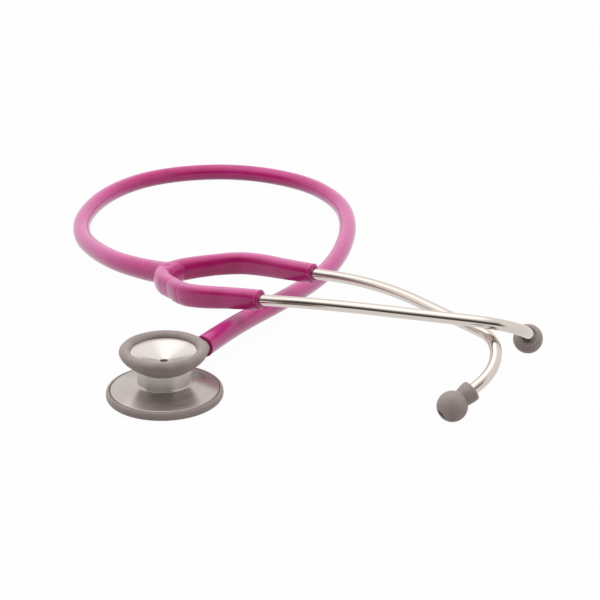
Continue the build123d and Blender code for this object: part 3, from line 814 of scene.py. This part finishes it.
direction = unit(np.gradient(spigot_line, axis=0))
sideways = unit(np.cross(direction, UP))
upright = np.cross(sideways, direction)
angle = np.arange(72) * 2 * pi / 72
ring = np.cos(angle)[None, :, None] * upright[:, None] + np.sin(angle)[None, :, None] * sideways[:, None]
radius = np.interp(spigot_line[:, 0], [-13.7, -12.3, -4.1, -2.0], [4.75, 4.95, 5.3, 4.9])
spigot_grid = (spigot_line[:, None] + radius[:, None, None] * ring) * MM
spigot = grid_mesh("spigot", spigot_grid, [pvc], pole_start=True, pole_end=True)

# %% [markdown]
# ## Yoke as one skin
# The real yoke has no seams and soft fillets in its corners. A voxel remesh melts the four lofts into
# one skin, and smoothing rounds the inside corners as the mould does.

# %% Yoke skin
bpy.context.view_layer.update()
for item in bpy.context.selected_objects:
    item.select_set(False)
for item in (spigot, *stubs):
    item.select_set(True)
bpy.context.view_layer.objects.active = spigot
bpy.ops.object.join()
yoke = spigot
yoke.name = "yoke_moulding"
VOXEL, RELAX_ROUNDS = 0.42, 14
melt = yoke.modifiers.new("melt", "REMESH")
melt.mode = "VOXEL"
melt.voxel_size = VOXEL * MM
melt.use_smooth_shade = True
relax = yoke.modifiers.new("relax", "SMOOTH")
relax.factor = 0.5
relax.iterations = RELAX_ROUNDS
settled = bpy.data.meshes.new_from_object(yoke.evaluated_get(bpy.context.evaluated_depsgraph_get()))
yoke.modifiers.clear()
yoke.data = settled
settled.materials.clear()
settled.materials.append(pvc)
settled.polygons.foreach_set("use_smooth", np.ones(len(settled.polygons), bool))
print("yoke", len(settled.vertices), "points")
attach(yoke, "root")
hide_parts("yoke_junction")

# %% [markdown]
# ## Hidden and small pieces
# The stem, the clip, the click stop, the ferrules and the diaphragm keep their exact CAD form and get
# the finish of what they are. The leaf spring is drawn again as two strips curved along the arms.

# %% Leaf spring
# half the leaf's height and half its thickness
LEAF_HALVES = (2.75, 0.4)
leaf_line = [
    (3.2, 0.0),
    (4.2, 3.9),
    (8.4, 8.5),
    (14.1, 12.8),
    (20.3, 16.7),
    (26.4, 18.9),
    (36.3, 19.6),
    (42.6, 19.25),
]
for side in SIDES:
    line = smooth_line(leaf_line, 6)
    strip = side_loft(side, line, np.tile(LEAF_HALVES, (len(line), 1)), squareness=7.0, round_points=32)
    leaf = grid_mesh(f"{side}_spring_leaf", strip, [spring_steel], pole_start=True, pole_end=True)
    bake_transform(leaf)
    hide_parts("leaf_spring")

# %% [markdown]
# ## Diaphragm material
# The diaphragm is a disc cut from woven-glass epoxy sheet, cream and satin, with the weave just
# visible under its face. Two crossed waves make the weave, with a thread about every millimetre.

# %% Diaphragm material
glass_epoxy, tree, surface, place = new_material("glass_epoxy_sheet")
warp, weft = (
    add_node(
        tree, "ShaderNodeTexWave", {"wave_type": "BANDS", "bands_direction": way}, Vector=place, Scale=320.0
    ).outputs["Fac"]
    for way in "XY"
)
cross = add_node(tree, "ShaderNodeMath", {"operation": "MULTIPLY"}, i0=warp, i1=weft)
cream = ramp(tree, cross.outputs["Value"], [(0.0, linear("#D9D3C4")), (1.0, linear("#E4DFD2"))])
tree.links.new(cream, surface.inputs["Base Color"])
surface.inputs["Roughness"].default_value = 0.42
surface.inputs["IOR"].default_value = 1.55
threads = add_node(tree, "ShaderNodeBump", Height=cross.outputs["Value"], Strength=0.1, Distance=0.00003)
tree.links.new(threads.outputs["Normal"], surface.inputs["Normal"])

print("made", glass_epoxy.name)

# %% [markdown]
# ## Small metal parts
# The ferrules are brass with a nickel plate, a little yellow and satin. The stem, its clip and the
# click stop are ground spring steel, cooler and brighter. Both have a faint cloud of about 1 mm.

# %% Small metal parts


def plain_metal(name, colour_low, colour_high, clouds, roughness):
    """A metal with a faint cloud in its colour; clouds is the noise's cells per metre."""
    material, tree, surface, place = new_material(name)
    cloud = add_node(tree, "ShaderNodeTexNoise", Vector=place, Scale=clouds, Detail=2.0)
    tone = ramp(tree, cloud.outputs["Fac"], [(0.3, linear(colour_low)), (0.7, linear(colour_high))])
    tree.links.new(tone, surface.inputs["Base Color"])
    surface.inputs["Metallic"].default_value = 1.0
    surface.inputs["Roughness"].default_value = roughness
    return material


nickel = plain_metal("nickel_plated_brass", "#B8B2A6", "#C6C0B4", 900.0, 0.25)
plain_steel = plain_metal("ground_spring_steel", "#A9A6A3", "#BCB9B6", 1200.0, 0.22)
finishes = {
    "diaphragm": glass_epoxy,
    "stem": plain_steel,
    "stem_clip": plain_steel,
    "detent_ball": plain_steel,
    "detent_spring": plain_steel,
    "detent_screw": plain_steel,
    "left_tip_ferrule": nickel,
    "right_tip_ferrule": nickel,
}
for name, finish in finishes.items():
    node = nodes[name]
    node.data.materials.clear()
    node.data.materials.append(finish)
print("finished", sorted(finishes))

# %% [markdown]
# ## Table
# The instrument lies on a plain pale table. To the camera, and in the metal, the table glows at very
# nearly plain white; the small share that is left to real light keeps the soft shadow.

# %% Table
TABLE_DROP, GLOW_SHARE = 0.05, 0.97
WHITE = (1.0, 1.0, 1.0, 1.0)
floor_material, tree, surface, place = new_material("white_table")
surface.inputs["Base Color"].default_value = linear("#C0BEBC")
surface.inputs["Roughness"].default_value = 0.9
surface.inputs["Specular IOR Level"].default_value = 0.1
rays = add_node(tree, "ShaderNodeLightPath")
larger = {"operation": "MAXIMUM"}
camera_ray, glossy_ray, clear_ray = (
    rays.outputs[f"Is {kind} Ray"] for kind in ("Camera", "Glossy", "Transmission")
)
direct = add_node(tree, "ShaderNodeMath", larger, i0=camera_ray, i1=glossy_ray)
seen = add_node(tree, "ShaderNodeMath", larger, i0=direct.outputs[0], i1=clear_ray)
white = add_node(tree, "ShaderNodeEmission", Color=WHITE, Strength=1.0)
mixed = add_node(tree, "ShaderNodeMath", {"operation": "MULTIPLY"}, i0=seen.outputs[0], i1=GLOW_SHARE)
blend = add_node(
    tree,
    "ShaderNodeMixShader",
    Fac=mixed.outputs["Value"],
    i1=surface.outputs["BSDF"],
    i2=white.outputs["Emission"],
)
tree.links.new(blend.outputs["Shader"], tree.nodes["Material Output"].inputs["Surface"])

table_corners = [(-4.0, -0.2), (4.0, -0.2), (4.0, 4.0), (-4.0, 4.0)]
table_mesh = bpy.data.meshes.new("table")
table_mesh.from_pydata([(x, y, -TABLE_DROP * MM) for x, y in table_corners], [], [(0, 1, 2, 3)])
table_mesh.materials.append(floor_material)
table = bpy.data.objects.new("table", table_mesh)
bpy.context.scene.collection.objects.link(table)
print("table", table_corners[2], "m to its far corner")

# %% [markdown]
# ## Room light
# A studio of soft light: a bright overhead patch, a plain level at the sides and a darker room behind
# the viewer, whose wedge draws the dark lines along the polished tubes. The camera itself sees white.

# %% Room light
world = bpy.data.worlds.new("studio")
bpy.context.scene.world = world
world.use_nodes = True
tree = world.node_tree
tree.nodes.clear()
rays = add_node(tree, "ShaderNodeLightPath")
towards = add_node(tree, "ShaderNodeTexCoord").outputs["Generated"]
split = add_node(tree, "ShaderNodeSeparateXYZ", Vector=towards)
smooth = {"interpolation_type": "SMOOTHSTEP"}
# the sky is brightest in one broad patch above and a little to the left
OVERHEAD = (-0.3, 0.1, 0.95)
patch = add_node(tree, "ShaderNodeVectorMath", {"operation": "DOT_PRODUCT"}, i0=towards, i1=OVERHEAD)
greys = [(0.0, 0.55), (0.78, 0.58), (0.95, 1.0)]
tones = [(at, (grey, grey * 0.985, grey * 0.97, 1.0)) for at, grey in greys]
sky = ramp(tree, patch.outputs["Value"], tones)
# the dark room is a wedge towards -Y, turned 0.35 rad to the left: lit is 0 inside it, and 1 outside
# or high above; angles are in radians
front = add_node(tree, "ShaderNodeMath", {"operation": "MULTIPLY"}, i0=split.outputs["Y"], i1=-1.0)
azimuth = {"operation": "ARCTAN2"}
turn = add_node(tree, "ShaderNodeMath", azimuth, i0=split.outputs["X"], i1=front.outputs["Value"])
from_left = add_node(tree, "ShaderNodeMath", {"operation": "ADD"}, i0=turn.outputs["Value"], i1=0.35)
aside = add_node(tree, "ShaderNodeMath", {"operation": "ABSOLUTE"}, i0=from_left.outputs["Value"])
beside = add_node(tree, "ShaderNodeMapRange", smooth, Value=aside.outputs["Value"], i1=0.85, i2=1.25)
above = add_node(tree, "ShaderNodeMapRange", smooth, Value=split.outputs["Z"], i1=0.35, i2=0.92)
lit = add_node(tree, "ShaderNodeMath", larger, i0=beside.outputs["Result"], i1=above.outputs["Result"])
glow = add_node(tree, "ShaderNodeMapRange", Value=lit.outputs["Value"], i1=0.0, i2=1.0, i3=0.14, i4=1.9)
room = add_node(tree, "ShaderNodeBackground", Color=sky, Strength=glow.outputs["Result"])
seen_room = add_node(tree, "ShaderNodeBackground", Color=WHITE, Strength=1.0)
pick = add_node(
    tree,
    "ShaderNodeMixShader",
    Fac=rays.outputs["Is Camera Ray"],
    i1=room.outputs["Background"],
    i2=seen_room.outputs["Background"],
)
add_node(tree, "ShaderNodeOutputWorld", Surface=pick.outputs["Shader"])
print("room light", world.name)

# %% [markdown]
# ## Lamps
# Two soft boxes add the modelling that the even room lacks: a large one overhead and a weak one on
# the left. Neither shows in the metal, so the room alone makes the reflections.

# %% Lamps


def soft_box(name, place, aim, size, power):
    """A rectangular area lamp of that size in metres and power in watts, turned to face aim."""
    data = bpy.data.lights.new(name, "AREA")
    data.shape = "RECTANGLE"
    data.size, data.size_y = size
    data.energy = power
    lamp = bpy.data.objects.new(name, data)
    forward = unit(np.array(aim) - np.array(place))
    sideways = unit(np.cross(forward, UP))
    turn = Matrix((sideways, np.cross(sideways, forward), -forward)).transposed()
    lamp.visible_glossy = False
    lamp.matrix_world = Matrix.Translation(place) @ turn.to_4x4()
    bpy.context.scene.collection.objects.link(lamp)
    print("lamp", name, power, "W")


soft_box("overhead", (0.0, 0.35, 0.95), (0.04, 0.08, 0.0), (1.5, 1.0), 3.0)
soft_box("left_side", (-0.9, -0.1, 0.55), (0.03, 0.08, 0.0), (0.6, 0.6), 0.8)

# %% [markdown]
# ## View and finish
# The Standard view shows each colour about as it is written.

# %% View and finish
bpy.context.scene.view_settings.view_transform = "Standard"
